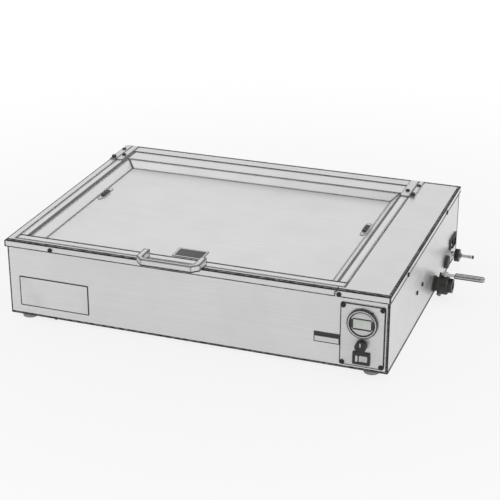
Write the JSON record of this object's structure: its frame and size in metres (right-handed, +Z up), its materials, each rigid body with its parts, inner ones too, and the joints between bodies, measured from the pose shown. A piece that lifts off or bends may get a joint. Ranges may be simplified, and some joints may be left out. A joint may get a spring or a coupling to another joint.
{
  "type": "splint heating pan",
  "caption": "Shallow heated water tank in a sheet metal case, with a dished lid hinged at the rear, front controls and a side drain valve.",
  "frame": {"origin": "centre of the footprint of the whole object, from the left skirt's screw heads to the tip of the drain lever and from the handle to the rear screw heads, at the level of the feet's undersides", "axes": "+X to the right along the front, +Y to the rear, +Z up"},
  "size_m": [0.8078, 0.5622, 0.1645],
  "materials": {
    "satin_steel": "satin brushed",
    "inner_steel": "mill finish",
    "tank_steel": "satin",
    "lid_steel": "satin brushed",
    "handle_metal": "satin",
    "hinge_steel": "satin",
    "dark_screw": "blackened",
    "zinc_screw": "zinc plated",
    "foot_rubber": "matt",
    "insulation_felt": "matt",
    "heater_rubber": "matt",
    "label_plate": "satin",
    "name_plate_face": "satin",
    "panel_face": "satin",
    "bezel_ring": "semi gloss",
    "dark_plastic": "matt",
    "rocker_plastic": "semi gloss",
    "knob_plastic": "matt",
    "display_glass": "glossy",
    "block_ceramic": "matt",
    "valve_dark": "dark plated",
    "ball_chrome": "polished",
    "grip_vinyl": "soft vinyl",
    "hub_metal": "satin",
    "blade_brass": "plain"
  },
  "bodies": {
    "case": {"case_shell": "satin_steel", "base_plate": "inner_steel", "base_screws": "dark_screw", "feet": "foot_rubber", "foot_screws": "zinc_screw", "rim_frame": "satin_steel", "rim_screws": "dark_screw", "control_cover": "satin_steel", "cover_screws": "dark_screw", "tank": "tank_steel", "insulation": "insulation_felt", "heater_mat": "heater_rubber", "divider_wall": "inner_steel", "hinge_fixed_leaf_left": "hinge_steel", "hinge_fixed_leaf_right": "hinge_steel", "hinge_pin_left": "hinge_steel", "hinge_pin_right": "hinge_steel", "hinge_pan_screws": "dark_screw", "hinge_hex_bolts": "dark_screw", "front_panel": "panel_face", "panel_screws": "dark_screw", "gauge_bezel": "bezel_ring", "gauge_face": "dark_plastic", "gauge_window": "display_glass", "thermostat_body": "dark_plastic", "rocker_bezel": "dark_plastic", "tag_plate": "label_plate", "name_plate": "name_plate_face", "side_screws": "dark_screw", "terminal_block": "block_ceramic", "drain_pipe": "tank_steel", "bulkhead_nut": "valve_dark", "valve_body": "valve_dark", "valve_end": "valve_dark", "overflow_tube": "tank_steel", "overflow_hub": "hub_metal", "overflow_nut": "valve_dark", "overflow_nozzle": "hub_metal", "fuse_holder": "dark_plastic", "power_inlet": "dark_plastic", "inlet_blades": "blade_brass", "inlet_screws": "zinc_screw"},
    "lid": {"lid_pan": "lid_steel", "lid_handle": "handle_metal", "handle_screws": "zinc_screw", "lid_label_plate": "label_plate", "lid_side_strips": "hinge_steel", "lid_side_blocks": "dark_plastic", "hinge_moving_leaf_left": "hinge_steel", "hinge_moving_leaf_right": "hinge_steel", "hinge_lid_screws": "dark_screw", "hinge_clinch_nuts": "zinc_screw"},
    "drain_lever": {"valve_ball": "ball_chrome", "valve_stem": "zinc_screw", "valve_lever": "zinc_screw", "lever_grip": "grip_vinyl", "lever_nut": "zinc_screw"},
    "thermostat_dial": {"thermostat_shaft": "zinc_screw", "thermostat_knob": "knob_plastic"},
    "power_rocker": {"rocker": "rocker_plastic"}
  },
  "joints": [
    {"name": "lid_hinge", "type": "hinge", "parent": "case", "child": "lid", "pos_m": [0, 0.2714, 0.1505], "axis": [-1, 0, 0], "range_deg": [0, 95]},
    {"name": "drain_lever_turn", "type": "hinge", "parent": "case", "child": "drain_lever", "pos_m": [0.33013, 0.0829, 0.0473], "axis": [0, 0, -1], "range_deg": [0, 90]},
    {"name": "thermostat_turn", "type": "hinge", "parent": "case", "child": "thermostat_dial", "pos_m": [0.26422, -0.2581, 0.0565], "axis": [0, 1, 0], "range_deg": [0, 270]},
    {"name": "rocker_tilt", "type": "hinge", "parent": "case", "child": "power_rocker", "pos_m": [0.26422, -0.2561, 0.0315], "axis": [0, 0, -1], "range_deg": [0, 12]}
  ]
}
